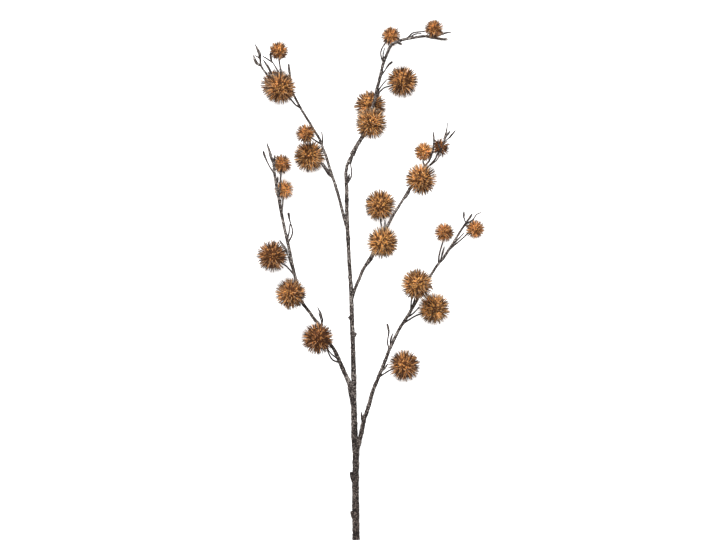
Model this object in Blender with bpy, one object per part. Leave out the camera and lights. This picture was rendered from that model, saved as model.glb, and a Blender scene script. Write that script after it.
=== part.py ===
"""An artificial branch of chestnut burrs, lying on a surface.

A round trunk carries five side branches, each plugged into a socket of the trunk. Each side branch
carries three large burrs and two small ones, whose stalks end in blind holes, and is dressed with
twigs and pointed leaf buds. The whole rests on the cut tips of its lowest spines and on its cut end.

Places are given on a layout grid seen from above: steps across, steps along from the trunk's cut
end, and a height in millimetres above the surface.
"""

import math
import random
from collections import namedtuple

import bmesh
import bpy
from mathutils import Matrix, Vector

MM = 0.001
# One step of the layout grid: a large burr spans 30.5 steps, which is 58 mm.
GRID = 0.0019
# The grid point that lies over the origin, the middle of the branch's outline.
MIDDLE = (12.4, 258.9)

# Clear space between two pieces where they meet.
GAP = 0.3 * MM

# Wood: each list holds the radii at even lengths along a tube.
TRUNK_RADII = (6.1, 2.6)
SLEEVE_WALL = 1.4
STALK_RADIUS = 1.1
STUB_RADII = (2.4, 1.3)
TWIG_RADII = (1.1, 0.9, 0.6)
BUD_RADII = (0.9, 2.1, 1.7, 0.4)
# How far along a branch's first stretch its plug starts and the trunk's sleeve ends.
PLUG_START = 0.5
SLEEVE_END = 0.86
STOUT_SIDES = 2
SLIM_SIDES = 1

# Burrs: a core with one spine on each of its facets.
BurrKind = namedtuple("BurrKind", "core tip points root")
LARGE = BurrKind(core=19.5 * MM, tip=29.0 * MM, points=26, root=1.7 * MM)
SMALL = BurrKind(core=12.3 * MM, tip=17.3 * MM, points=16, root=1.5 * MM)
SHORTEST_SPINE = 0.95
LEAST_INSET = 0.8 * MM
# No spine grows this near to the stalk.
BARE_ANGLE = math.radians(21)
SOCKET_DEPTH = 5.0 * MM
SOCKET_SIDES = 8
# The centre of a burr that rests on the surface: its lowest spine is cut flat there.
LOW = 26.0

WELD = 0.00001

WOOD_COLOUR = (0.075, 0.055, 0.045, 1.0)
LARGE_COLOUR = (0.38, 0.15, 0.05, 1.0)
SMALL_COLOUR = (0.5, 0.21, 0.065, 1.0)

Burr = namedtuple("Burr", "name kind centre stalk")
Branch = namedtuple("Branch", "name foot radii main twigs buds burrs")

TRUNK = [
    (0, 0, 5.9), (-0.1, 9, 6.2), (-0.3, 29, 7.6), (-0.6, 49, 9.5), (-0.3, 69, 12), (0, 84, 14.5),
    (-1.4, 99, 17.5), (-1.8, 119, 21.5), (-2.4, 139, 25.5), (-2.2, 159, 29), (-2.7, 179, 31.5),
    (-3.3, 199, 33), (-4.1, 219, 34), (-4.7, 244, 35), (-6.8, 279, 36), (-8.5, 309, 36),
    (-9.3, 329, 36), (-9.3, 350, 36), (-10.2, 366, 36), (-8.9, 374, 36.5), (-6.8, 379, 37),
    (-3.9, 384, 37.5),
]

TRUNK_STUBS = [
    [(-1.0, 55, 10.5), (-3.9, 60, 11.5), (-6.0, 66.5, 12.5)],
    [(-0.6, 18, 7.5), (-3.2, 22.5, 8), (-4.7, 27.3, 8.5)],
    [(-3.3, 202, 33), (0.0, 206, 34.5)],
    [(-4.1, 219.5, 34), (-7.2, 222.5, 35)],
]

TRUNK_TWIGS = [
    [(-9.6, 354, 36), (-5.2, 361.5, 37), (-4.3, 367.3, 38), (-5.2, 374.8, 39.5), (-3.4, 380.5, 41)],
]

TRUNK_BUDS = [
    [(-9.2, 358, 37), (-6.8, 364, 38.5), (-5.7, 370.5, 39.5)],
]

TOP = Branch(
    name="branch_top",
    foot=[(-3.9, 384, 37.5), (0.7, 393.2, 39)],
    radii=(2.5, 1.3),
    main=[
        (4, 398.2, 41), (9, 408, 46), (12, 417, 50.5), (15, 426, 55.5), (17.5, 435, 59.5),
        (19.8, 443.2, 58), (21.1, 450.7, 54), (23.2, 458.2, 50), (25.3, 467.3, 46),
        (27.3, 475.7, 43), (31.9, 487.3, 40), (34, 491.9, 40), (37.3, 495.7, 40),
        (42.3, 497.3, 40), (47.3, 499.4, 40), (61.5, 501.9, 40), (69, 502.7, 38),
        (75.7, 501.5, 34), (84, 500.2, 32),
    ],
    twigs=[
        [(24.2, 462, 49), (28.2, 467.3, 50), (30.7, 471.5, 50)],
    ],
    buds=[
        [(82, 500.4, 32.4), (86, 500, 31.8), (91.5, 500, 31)],
        [(76.5, 501.6, 33.8), (84, 504.5, 33), (90, 506.2, 33), (95.3, 506.7, 33)],
        [(54, 500.6, 40), (58.2, 504.4, 42), (65.7, 505.4, 43)],
        [(40.5, 496.7, 40), (45.9, 494.6, 41.5)],
        [(27.6, 477.5, 43), (27.1, 484.8, 45), (28.6, 490.7, 45)],
        [(29.5, 469.5, 50), (32.5, 474, 50), (36.5, 477.3, 50)],
        [(20.2, 445, 57.5), (25.7, 453.2, 54), (30.3, 458.6, 50)],
    ],
    burrs=[
        Burr("burr_top_1", LARGE, (15, 415, 83), [(10, 411.5, 48), (11.5, 413, 54)]),
        Burr("burr_top_2", LARGE, (14, 433.2, LOW), [(13.2, 421, 52.5), (13.9, 424, 46.5)]),
        Burr(
            "burr_top_3", LARGE, (46.5, 457.6, LOW),
            [(19.8, 443.2, 58), (24, 447.3, 52), (28.2, 451.1, 44), (33.2, 452.7, 36)],
        ),
        Burr(
            "small_burr_top_1", SMALL, (35, 503.3, 24),
            [(27.3, 475.7, 43), (24.8, 484, 40), (25.7, 489.8, 36), (29, 495.7, 31)],
        ),
        Burr(
            "small_burr_top_2", SMALL, (77.8, 509.8, 52),
            [(51, 500.2, 40), (56.5, 505.7, 44), (63.2, 506.9, 48), (68, 507.5, 50)],
        ),
    ],
)

LEFT_UPPER = Branch(
    name="branch_left_upper",
    foot=[(-8.6, 311, 36), (-12.7, 324, 37)],
    radii=(2.5, 1.3),
    main=[
        (-14.7, 332.3, 37), (-18.9, 348.2, 37), (-23.5, 362.3, 37), (-27.7, 375.7, 38),
        (-30.2, 384, 39), (-32.7, 389.8, 40), (-34.7, 395.7, 40), (-37.7, 402.3, 40),
        (-42.7, 409.8, 41), (-46, 415.7, 43.5), (-50.2, 422.3, 47), (-54.3, 429, 50),
        (-62.7, 444.8, 54), (-67, 454, 56), (-73, 461, 56), (-80, 464, 56), (-87.7, 463.6, 56),
        (-93.5, 470.7, 56), (-95.2, 474.8, 56), (-95.6, 479.8, 56),
    ],
    twigs=[
        [(-74, 461.6, 56), (-76.8, 465.7, 56), (-82.2, 474.8, 57), (-84.7, 478.2, 57)],
        [(-83, 476, 57), (-89, 480, 57), (-93.2, 482.6, 57)],
    ],
    buds=[
        [(-95.4, 477.5, 56), (-96.4, 485, 56), (-98, 489.5, 55.5), (-101, 494.8, 55)],
        [(-94, 471.6, 56), (-100.2, 476.5, 56), (-102.5, 484, 56)],
        [(-83.5, 464, 56), (-88, 472, 58), (-92.7, 479, 58)],
        [(-84, 477.2, 57), (-85.2, 481.5, 58), (-85.6, 486.2, 58.5)],
        [(-69, 456.5, 56), (-65.3, 461.7, 58), (-67.2, 474.4, 60)],
        [(-33.6, 392.5, 40), (-33.5, 401.5, 42), (-34.6, 407.7, 42)],
        [(-24.5, 363.5, 37.5), (-29, 369.5, 39.5), (-33, 376, 40.5)],
    ],
    burrs=[
        Burr(
            "burr_left_upper_1", LARGE, (-75.5, 450, 85),
            [(-56, 431.5, 50.5), (-60.6, 434.2, 57), (-66.8, 441.5, 66)],
        ),
        Burr(
            "burr_left_upper_2", LARGE, (-79.5, 454, LOW),
            [(-62.5, 444.6, 54), (-66.5, 446.6, 49), (-68.8, 447.6, 44)],
        ),
        Burr(
            "burr_left_upper_3", LARGE, (-46.5, 382.6, LOW),
            [(-23, 360.8, 37), (-27.7, 364.8, 36), (-31, 369.8, 33.5), (-35.2, 375.7, 30.5)],
        ),
        Burr(
            "small_burr_left_upper_1", SMALL, (-77.2, 488.2, 46),
            [(-72.6, 460.6, 56), (-74.9, 467.5, 54.5), (-76.8, 478.6, 50)],
        ),
        Burr(
            "small_burr_left_upper_2", SMALL, (-50.2, 405.2, 55),
            [(-34, 394.2, 40), (-39.3, 397.7, 44), (-42.7, 399.8, 48.5)],
        ),
    ],
)

LEFT_LOWER = Branch(
    name="branch_left_lower",
    foot=[(-2.3, 135, 24.7), (-6.8, 155.7, 29)],
    radii=(3.1, 1.3),
    main=[
        (-13.5, 170.7, 32), (-17.7, 180.7, 33.5), (-22.7, 190.7, 35), (-26.8, 196.5, 35.5),
        (-37.2, 214.8, 36), (-41, 219, 36.5), (-46.8, 227.3, 37), (-52.7, 234.8, 37),
        (-56, 240, 37), (-58.5, 249.5, 37), (-60.6, 260.7, 37), (-63.9, 274.8, 36),
        (-66.8, 289.8, 36), (-70.2, 304.8, 35), (-73.5, 319.8, 34.5), (-76.8, 337.3, 35.5),
        (-78.1, 345.7, 36), (-79.7, 354, 36), (-81.8, 367.3, 36), (-82.2, 375, 36),
    ],
    twigs=[
        [(-15.2, 175, 32.8), (-19.3, 180.7, 37), (-24.3, 184.8, 46), (-27.9, 189.5, 57)],
        [(-67.6, 294, 35.8), (-64.3, 303.2, 36), (-63.3, 308.2, 37), (-64.7, 314, 37),
         (-66.5, 320, 36)],
        [(-81.8, 367.3, 36), (-85.2, 372, 36.5), (-87.7, 377.5, 37)],
    ],
    buds=[
        [(-36, 213, 36), (-33.4, 219, 41), (-36, 225.7, 44), (-38.9, 232, 46)],
        [(-35.6, 212, 36), (-34.6, 218, 33), (-37.7, 225.5, 31)],
        [(-61.9, 266, 36.7), (-66, 276, 40), (-69.3, 286.5, 41.5), (-72.7, 293.2, 40.5),
         (-76.8, 299, 39)],
        [(-65.9, 317.5, 36.2), (-66.8, 322, 35.5), (-67.6, 327, 35)],
        [(-69, 299.5, 35.4), (-66.4, 307, 36), (-66, 314, 36.5)],
        [(-74.6, 325.5, 34.8), (-76.6, 332, 34.5), (-75, 339.5, 34.5)],
        [(-82, 373, 36), (-82.6, 378.5, 36), (-81.4, 385, 36)],
        [(-82.1, 373, 36), (-85.6, 383, 37), (-87, 389, 38), (-89.3, 395.7, 38)],
        [(-87, 376, 36.9), (-90.2, 382.3, 37), (-93.1, 387.7, 37)],
        [(-79.6, 353.5, 36), (-78.6, 358, 38), (-78.2, 362.6, 38.5)],
    ],
    burrs=[
        Burr("burr_left_lower_1", LARGE, (-83.9, 282.9, LOW),
             [(-61.2, 263, 37), (-66, 269, 34), (-70.2, 273.2, 31), (-73.9, 275.2, 29)]),
        Burr("burr_left_lower_2", LARGE, (-64.9, 245.2, 68),
             [(-57.5, 245.5, 37), (-60, 246.2, 42)]),
        Burr("burr_left_lower_3", LARGE, (-38.3, 200.7, 68),
             [(-15.8, 176.5, 33), (-21.8, 178.2, 40), (-25.2, 181.5, 48), (-27.7, 187, 56.5),
              (-29, 191.8, 61)]),
        Burr("small_burr_left_lower_1", SMALL, (-74.3, 375.2, 22),
             [(-77.4, 341, 36), (-77, 349.5, 39), (-76, 358, 36), (-75.2, 364.5, 29.5)]),
        Burr("small_burr_left_lower_2", SMALL, (-72.1, 349.4, 20),
             [(-74.3, 323.5, 34.5), (-74, 329, 31), (-73.5, 334.8, 26), (-73.2, 339.5, 22.5)]),
    ],
)

RIGHT_MID = Branch(
    name="branch_right_mid",
    foot=[(-4.7, 240.5, 35), (-0.2, 252.3, 36)],
    radii=(2.8, 1.3),
    main=[
        (2.8, 259, 36.5), (6.5, 268.2, 37), (10.3, 274.8, 37), (17.3, 286.5, 36),
        (23.5, 298, 36), (29.8, 309.8, 36), (37.3, 324, 37.5), (43.2, 333.2, 37.5),
        (48.2, 341.5, 36.5), (52.8, 349.4, 36), (62, 360.5, 36.5), (66.5, 368, 38),
        (69.8, 374, 43), (73.2, 378.3, 48), (76.6, 387.3, 51), (77.8, 396.5, 50),
    ],
    twigs=[
        [(67.5, 369.5, 39), (75.7, 374.8, 45), (79.8, 378.6, 47), (84, 384.8, 49),
         (86.5, 393.2, 50), (88.2, 398.2, 50), (88.4, 403.2, 50)],
    ],
    buds=[
        [(77.7, 394.5, 50), (78.2, 400.5, 49.5), (77.3, 406.9, 49)],
        [(88.3, 401.5, 50), (90.9, 409.5, 50), (91.1, 416.1, 50)],
        [(87.9, 397.2, 50.1), (90.8, 401.8, 51.5), (93.6, 406.4, 52.5)],
        [(87, 394.6, 50), (93.4, 402.2, 48.8), (99.8, 408.6, 48)],
        [(85.1, 388.3, 49.2), (83.4, 391.6, 51.8), (81.8, 396.2, 53)],
        [(11, 276, 37), (15, 281, 40), (18.6, 287, 41)],
        [(46.5, 338.5, 37), (51.5, 342.5, 39.5), (56, 348.2, 40.5)],
        [(27, 304.5, 36), (28.6, 312, 38.5), (29.2, 318.6, 39.5)],
    ],
    burrs=[
        Burr("burr_right_mid_1", LARGE, (64.7, 359.4, 70), [(60.5, 358.7, 36.4), (62.5, 359, 42)]),
        Burr("burr_right_mid_2", LARGE, (26.5, 296.1, 70), [(22, 295.2, 36), (24, 295.6, 42)]),
        Burr("burr_right_mid_3", LARGE, (24.2, 333.6, LOW),
             [(26.5, 303.5, 36), (25.8, 311, 35), (24.6, 318.5, 31.5)]),
        Burr("small_burr_right_mid_1", SMALL, (84.4, 391.9, 24),
             [(75, 374.4, 44.5), (78.5, 378.8, 40), (80.5, 382.5, 35)]),
        Burr("small_burr_right_mid_2", SMALL, (67.8, 387.2, 38.5),
             [(69.3, 373, 41), (67.4, 376, 40.6), (66.9, 378.6, 40)]),
    ],
)

RIGHT_LOWER = Branch(
    name="branch_right_lower",
    foot=[(-0.3, 86, 15), (4.9, 104, 19)],
    radii=(3.6, 1.3),
    main=[
        (8.2, 119.8, 23.5), (11.5, 129, 26), (17.3, 149, 31.5), (20.7, 157.3, 33),
        (24, 165.7, 34.5), (28.2, 175.7, 35.5), (33.2, 189, 36), (38.2, 199.8, 36.5),
        (43.2, 209.8, 37), (49, 219, 37), (54.8, 228.2, 37), (62.3, 241.5, 36), (72.3, 259, 36),
        (76.5, 266.5, 36), (81.5, 274, 36), (86.5, 279.8, 36), (91.5, 287.3, 36),
        (96.5, 294.8, 37), (101.5, 303.2, 38), (105.7, 309.8, 38), (109.8, 315.7, 38),
        (113.2, 320.7, 38),
    ],
    twigs=[
        [(33.4, 189.4, 36), (31.9, 194.8, 38), (31.9, 200.7, 39.5), (33.2, 208.2, 40)],
        [(108.5, 314, 38), (117.3, 319.8, 42), (120.7, 324.4, 42)],
    ],
    buds=[
        [(7.2, 114, 21.6), (6, 120.5, 25.5), (5.3, 127, 27)],
        [(33, 206.5, 40), (32.2, 210.8, 40.5), (30.7, 215.8, 40.5)],
        [(34, 190.8, 36.2), (34.4, 199, 40), (37.3, 206.3, 41)],
        [(23.6, 164.5, 34.4), (29, 171.5, 38), (31.9, 175.5, 39)],
        [(50, 220.6, 37), (57.3, 225.7, 39), (63.2, 231.9, 41)],
        [(54.2, 227.2, 37), (55.2, 237, 37.5), (56.5, 244.5, 37)],
        [(71, 256.8, 36), (74.5, 252.5, 38), (77.8, 248.5, 38)],
        [(83.6, 276.2, 36), (86.6, 285, 39), (88.2, 292.3, 39)],
        [(96, 294, 37), (103.2, 300, 41), (108.2, 305.7, 42)],
        [(112, 318.8, 38), (114.6, 322.2, 38), (116.6, 326, 38)],
        [(109.2, 314.8, 38), (109, 321, 38.5), (108.2, 328, 38.5)],
        [(119.6, 322.8, 42), (122.6, 325.2, 41.5), (126, 326.8, 41)],
    ],
    burrs=[
        Burr("burr_right_lower_1", LARGE, (60.8, 254.8, 68), [(66, 248, 36), (65, 249.8, 42)]),
        Burr("burr_right_lower_2", LARGE, (78.2, 230.5, LOW),
             [(46.5, 215, 37), (54, 219.8, 35), (59.8, 223.2, 32), (65.3, 225.2, 29.5)]),
        Burr("burr_right_lower_3", LARGE, (48.3, 173.2, LOW),
             [(22.4, 161.6, 33.8), (29, 165.7, 33), (33.6, 168.6, 30.5)]),
        Burr("small_burr_right_lower_1", SMALL, (119, 309.8, 34),
             [(92.6, 289, 36.2), (100.7, 295.7, 36), (105.7, 299.8, 35.5), (111, 304.8, 34.5)]),
        Burr("small_burr_right_lower_2", SMALL, (88.4, 306.5, 34),
             [(82.5, 275.2, 36), (83, 282.3, 36), (84.4, 289, 35.5), (87, 297.5, 34.6)]),
    ],
)

BRANCHES = [TOP, LEFT_UPPER, LEFT_LOWER, RIGHT_MID, RIGHT_LOWER]


def at(place):
    """The point of a place on the layout grid, in metres."""
    across, along, height = place
    return Vector(((across - MIDDLE[0]) * GRID, (along - MIDDLE[1]) * GRID, height * MM))


def clear_scene():
    for thing in list(bpy.data.objects):
        bpy.data.objects.remove(thing, do_unlink=True)


def new_collection(name, hidden=False):
    group = bpy.data.collections.new(name)
    bpy.context.scene.collection.children.link(group)
    group.hide_render = hidden
    return group


def new_material(name, colour, roughness):
    material = bpy.data.materials.new(name)
    material.use_nodes = True
    shader = material.node_tree.nodes["Principled BSDF"]
    shader.inputs["Base Color"].default_value = colour
    shader.inputs["Roughness"].default_value = roughness
    material.diffuse_color = colour
    return material


def add_object(name, mesh, group):
    thing = bpy.data.objects.new(name, mesh)
    group.objects.link(thing)
    return thing


def remove_object(thing):
    mesh = thing.data
    bpy.data.objects.remove(thing, do_unlink=True)
    bpy.data.meshes.remove(mesh)


def mesh_from(thing):
    """The object's shape with its modifiers applied, as a mesh with welded caps."""
    bpy.context.view_layer.update()
    graph = bpy.context.evaluated_depsgraph_get()
    mesh = bpy.data.meshes.new_from_object(thing.evaluated_get(graph))
    shape = bmesh.new()
    shape.from_mesh(mesh)
    bmesh.ops.remove_doubles(shape, verts=shape.verts, dist=WELD)
    shape.to_mesh(mesh)
    shape.free()
    return mesh


def radius_at(radii, share):
    """The radius at a share of a tube's length, between those given at even lengths."""
    place = share * (len(radii) - 1)
    before = min(int(place), len(radii) - 2)
    return radii[before] + (radii[before + 1] - radii[before]) * (place - before)


def add_tube(name, points, radii, sides, group):
    """A tube through the points, with flat ends, as a mesh object."""
    curve = bpy.data.curves.new(name, "CURVE")
    curve.dimensions = "3D"
    curve.bevel_depth = MM
    curve.bevel_resolution = sides
    curve.use_fill_caps = True
    spline = curve.splines.new("POLY")
    spline.points.add(len(points) - 1)
    steps = [(b - a).length for a, b in zip(points, points[1:])]
    walked = 0.0
    for index, (knot, point) in enumerate(zip(spline.points, points)):
        knot.co = (*point, 1.0)
        knot.radius = radius_at(radii, walked / sum(steps))
        walked += steps[index] if index < len(steps) else 0.0
    guide = add_object(name + "_guide", curve, group)
    tube = add_object(name, mesh_from(guide), group)
    tube.matrix_world = guide.matrix_world
    bpy.data.objects.remove(guide, do_unlink=True)
    return tube


def boolean(thing, operation, group):
    """Joins to an object all that a collection holds, or cuts it away, and empties the collection."""
    modifier = thing.modifiers.new(operation.title(), "BOOLEAN")
    modifier.operation = operation
    modifier.solver = "EXACT"
    modifier.operand_type = "COLLECTION"
    modifier.collection = group
    joined = mesh_from(thing)
    plain = thing.data
    thing.modifiers.clear()
    thing.data = joined
    bpy.data.meshes.remove(plain)
    for used in list(group.objects):
        remove_object(used)


def flatten_underside(shape):
    """Cuts a shape off level with the surface that it lies on."""
    whole = shape.verts[:] + shape.edges[:] + shape.faces[:]
    cut = bmesh.ops.bisect_plane(
        shape, geom=whole, plane_co=(0, 0, 0), plane_no=(0, 0, -1), clear_outer=True
    )
    rim = [piece for piece in cut["geom_cut"] if isinstance(piece, bmesh.types.BMEdge)]
    bmesh.ops.holes_fill(shape, edges=rim, sides=0)


def foot_of(branch):
    """Where a branch's straight first stretch starts, inside the trunk, and where it ends."""
    start, end = (at(place) for place in branch.foot)
    return start, end


def stalk_points(burr):
    """A stalk's route from its branch to the bottom of the burr's blind hole."""
    centre = at(burr.centre)
    route = [at(place) for place in burr.stalk]
    outward = (route[-1] - centre).normalized()
    return route + [centre + outward * (burr.kind.core - SOCKET_DEPTH)]


def build_trunk(group, helpers, material):
    """The trunk with its stubs and twigs, and a bored sleeve where each branch plugs in."""
    trunk = add_tube("trunk", [at(place) for place in TRUNK], TRUNK_RADII, STOUT_SIDES, group)
    for stub in TRUNK_STUBS:
        add_tube("stub", [at(place) for place in stub], STUB_RADII, SLIM_SIDES, helpers)
    for twig in TRUNK_TWIGS:
        add_tube("twig", [at(place) for place in twig], TWIG_RADII, SLIM_SIDES, helpers)
    for bud in TRUNK_BUDS:
        add_tube("bud", [at(place) for place in bud], BUD_RADII, SLIM_SIDES, helpers)
    for branch in BRANCHES:
        start, end = foot_of(branch)
        sleeve = [start, start.lerp(end, SLEEVE_END)]
        radii = [branch.radii[0] + SLEEVE_WALL] * 2
        add_tube("sleeve", sleeve, radii, STOUT_SIDES, helpers)
    boolean(trunk, "UNION", helpers)

    for branch in BRANCHES:
        start, end = foot_of(branch)
        bore = [start.lerp(end, PLUG_START) - (end - start).normalized() * GAP, end]
        radii = [branch.radii[0] + GAP / MM] * 2
        add_tube("bore", bore, radii, STOUT_SIDES, helpers)
    boolean(trunk, "DIFFERENCE", helpers)

    shape = bmesh.new()
    shape.from_mesh(trunk.data)
    flatten_underside(shape)
    shape.to_mesh(trunk.data)
    shape.free()
    trunk.data.materials.append(material)


def build_branch(branch, group, helpers, material):
    """A side branch with its twigs, its leaf buds and the stalks of its burrs, in one solid."""
    start, end = foot_of(branch)
    route = [start.lerp(end, PLUG_START), end] + [at(place) for place in branch.main]
    wood = add_tube(branch.name, route, branch.radii, STOUT_SIDES, group)
    for twig in branch.twigs:
        add_tube("twig", [at(place) for place in twig], TWIG_RADII, SLIM_SIDES, helpers)
    for bud in branch.buds:
        add_tube("bud", [at(place) for place in bud], BUD_RADII, SLIM_SIDES, helpers)
    for burr in branch.burrs:
        add_tube("stalk", stalk_points(burr), [STALK_RADIUS] * 2, SLIM_SIDES, helpers)
    boolean(wood, "UNION", helpers)
    wood.data.materials.append(material)


def even_directions(count):
    """Directions spread evenly over a sphere, each turned from the last by the golden angle."""
    golden = math.pi * (3 - math.sqrt(5))
    for index in range(count):
        height = 1 - (2 * index + 1) / count
        ring = math.sqrt(1 - height * height)
        yield Vector((ring * math.cos(index * golden), ring * math.sin(index * golden), height))


def faceted_core(kind, chance, resting):
    """The core's hull, turned at random, or with one facet straight down where it rests."""
    shape = bmesh.new()
    for direction in even_directions(kind.points):
        shape.verts.new(direction * kind.core)
    bmesh.ops.convex_hull(shape, input=shape.verts)
    turn = Matrix.Rotation(chance.uniform(0, math.tau), 4, Vector((1, 1, 1)))
    turn = Matrix.Rotation(chance.uniform(0, math.tau), 4, "Z") @ turn
    bmesh.ops.transform(shape, matrix=turn, verts=shape.verts)
    if resting:
        down = Vector((0, 0, -1))
        lowest = min((face.calc_center_median() for face in shape.faces), key=lambda c: c.z)
        level = lowest.rotation_difference(down).to_matrix().to_4x4()
        bmesh.ops.transform(shape, matrix=level, verts=shape.verts)
    bmesh.ops.recalc_face_normals(shape, faces=shape.faces)
    return shape


def inner_radius(facet):
    """The radius of the circle that just fits in a three-sided facet."""
    return 2 * facet.calc_area() / sum(side.calc_length() for side in facet.edges)


def raise_spines(shape, kind, stalk, chance):
    """Draws each facet in to a root and raises a spine on it, but none beside the stalk."""
    facets = shape.faces[:]
    for facet in facets:
        drawn_in = max(inner_radius(facet) - kind.root, LEAST_INSET)
        bmesh.ops.inset_individual(shape, faces=[facet], thickness=drawn_in)
    roots = [f for f in facets if f.calc_center_median().angle(stalk) > BARE_ANGLE]
    tips = bmesh.ops.poke(shape, faces=roots)["verts"]
    for tip in tips:
        tip.co = tip.co.normalized() * kind.tip * chance.uniform(SHORTEST_SPINE, 1)


def add_stalk_hole(body, burr, stalk_end, outward, cutters):
    """Bores the burr for its stalk, out from just below the stalk's end."""
    length = burr.kind.tip + SOCKET_DEPTH - burr.kind.core
    middle = stalk_end + outward * (length / 2 - GAP)
    place = Matrix.Translation(middle) @ outward.to_track_quat("Z", "Y").to_matrix().to_4x4()
    radius = (STALK_RADIUS * MM + GAP) / math.cos(math.pi / SOCKET_SIDES)
    hole = bmesh.new()
    bmesh.ops.create_cone(
        hole, cap_ends=True, segments=SOCKET_SIDES, radius1=radius, radius2=radius,
        depth=length, matrix=place,
    )
    hole_mesh = bpy.data.meshes.new(burr.name + "_hole")
    hole.to_mesh(hole_mesh)
    hole.free()
    cutter = add_object(burr.name + "_hole", hole_mesh, cutters)
    cutter.hide_render = True
    cutter.display_type = "WIRE"
    modifier = body.modifiers.new("Stalk hole", "BOOLEAN")
    modifier.operation = "DIFFERENCE"
    modifier.solver = "EXACT"
    modifier.object = cutter


def build_burr(burr, group, cutters, material):
    """A spiny burr with a blind hole for its stalk."""
    centre = at(burr.centre)
    stalk_end = stalk_points(burr)[-1]
    outward = (stalk_end - centre).normalized()
    resting = burr.centre[2] == LOW
    chance = random.Random(burr.name)
    shape = faceted_core(burr.kind, chance, resting)
    raise_spines(shape, burr.kind, outward, chance)
    bmesh.ops.translate(shape, verts=shape.verts, vec=centre)
    if resting:
        flatten_underside(shape)
    mesh = bpy.data.meshes.new(burr.name)
    shape.to_mesh(mesh)
    shape.free()
    mesh.materials.append(material)
    body = add_object(burr.name, mesh, group)
    add_stalk_hole(body, burr, stalk_end, outward, cutters)


def main():
    clear_scene()
    group = new_collection("chestnut_burr_branch")
    cutters = new_collection("cutters", hidden=True)
    helpers = new_collection("helpers", hidden=True)
    wood = new_material("wood", WOOD_COLOUR, 0.8)
    colours = {
        LARGE: new_material("large_burr", LARGE_COLOUR, 0.6),
        SMALL: new_material("small_burr", SMALL_COLOUR, 0.6),
    }
    build_trunk(group, helpers, wood)
    for branch in BRANCHES:
        build_branch(branch, group, helpers, wood)
        for burr in branch.burrs:
            build_burr(burr, group, cutters, colours[burr.kind])
    bpy.data.collections.remove(helpers)


if __name__ == "__main__":
    main()
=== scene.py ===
"""The looks of an artificial branch of chestnut burrs, lying on a pale floor and seen from above.

Stems, twigs and leaf buds are swept along the routes of the branch's layout, and each burr is a core
set with tapered spines. The layout grid is the one that the branch was designed on: steps across,
steps along from the trunk's cut end, and a height in millimetres above the floor.
"""

import math
from collections import namedtuple

import bpy
from bpy.props import FloatProperty, FloatVectorProperty, IntProperty, PointerProperty
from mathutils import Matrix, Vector


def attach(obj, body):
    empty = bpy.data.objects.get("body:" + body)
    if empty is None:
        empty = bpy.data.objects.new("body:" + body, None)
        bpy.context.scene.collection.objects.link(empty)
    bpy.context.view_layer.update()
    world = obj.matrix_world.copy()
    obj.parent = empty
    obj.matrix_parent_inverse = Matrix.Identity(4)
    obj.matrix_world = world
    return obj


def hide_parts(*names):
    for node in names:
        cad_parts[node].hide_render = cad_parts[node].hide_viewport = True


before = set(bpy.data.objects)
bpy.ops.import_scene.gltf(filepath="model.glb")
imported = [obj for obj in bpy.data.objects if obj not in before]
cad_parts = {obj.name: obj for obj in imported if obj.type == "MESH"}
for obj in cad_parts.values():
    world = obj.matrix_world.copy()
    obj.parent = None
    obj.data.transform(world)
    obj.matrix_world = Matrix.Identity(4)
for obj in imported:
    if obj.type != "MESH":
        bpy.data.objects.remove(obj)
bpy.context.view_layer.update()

bl_info = {
    "name": "Chestnut Burr Branch",
    "version": (1, 0, 0),
    "blender": (4, 5, 0),
    "location": "View3D > Sidebar > Burr Branch",
    "description": "Builds the stems, leaf buds and spiny burrs of a decorative chestnut branch",
    "category": "Object",
}

MM = 0.001
# One step of the layout grid, and the grid point that lies over the origin.
GRID = 0.0019
MIDDLE = (12.4, 258.9)

# The photograph's frame, in pixels, and where its middle falls on the layout grid.
FRAME_SIZE = (716, 540)
VIEW_MIDDLE = (2.0, 269.0)
VIEW_HEIGHT = 38 * MM

# Whatever would reach through the floor is pressed flat at this height.
FLOOR_GAP = 0.05 * MM

# Radii in millimetres at even lengths along a stem.
TRUNK_RADII = (7.0, 6.4, 6.2, 5.4, 4.5, 4.0, 3.6, 3.8, 2.9)
STALK_RADII = (1.9, 1.6, 1.5, 1.6)
STUB_RADII = (4.4, 3.7, 2.9)
TWIG_RADII = (1.7, 1.5, 1.3, 1.1)

# The same for the shapes of buds and thin twigs.
BLUNT = (3.0, 2.8, 2.5)
SPINDLE = (1.2, 2.0, 2.5, 2.3, 1.7, 0.8)
LEAF = (1.4, 2.7, 3.1, 2.7, 1.8, 0.6)
CLUB = (1.3, 1.5, 1.8, 2.2, 2.4, 1.8)
STALKED = (1.2, 1.2, 1.3, 1.8, 2.1, 1.6, 0.7)
TAILED = (1.3, 2.3, 2.4, 1.7, 1.1, 0.9, 0.7)
THIN = (1.2, 1.0, 0.9, 0.9)

# What the bark adds to a side stem's radius, and a sleeve's wall to that of the plug inside it.
BARK_DEPTH = 0.75
SLEEVE_WALL = (1.6, 1.4, 0.5)

# Shares of a side branch's foot at which its plug starts and the sleeve round it ends.
PLUG_START = 0.5
SLEEVE_END = 0.86

# How far a stalk reaches into its burr.
SOCKET_DEPTH = 2 * MM

# Grid steps along the trunk at which old leaf scars ring it, how many millimetres they stand out,
# and how many grid steps they are wide.
SCARS = (30, 51, 61, 76, 89, 115, 125, 163, 206, 262, 300, 338)
SCAR_HEIGHT = 0.7
SCAR_WIDTH = 1.2

# Distance between the trunk's points, and how many steps a bud's and a sleeve's stretches get.
TRUNK_STEP = 2.5 * MM
BUD_STEPS = 3
SLEEVE_STEPS = 4

# How fast the ridges of the bark change round a stem and along it, for each metre.
RIDGE_ROUND = 420.0
RIDGE_ALONG = 130.0

# Each seed reads the bark's noises this much further up.
SEED_SHIFT = 1.7

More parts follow.
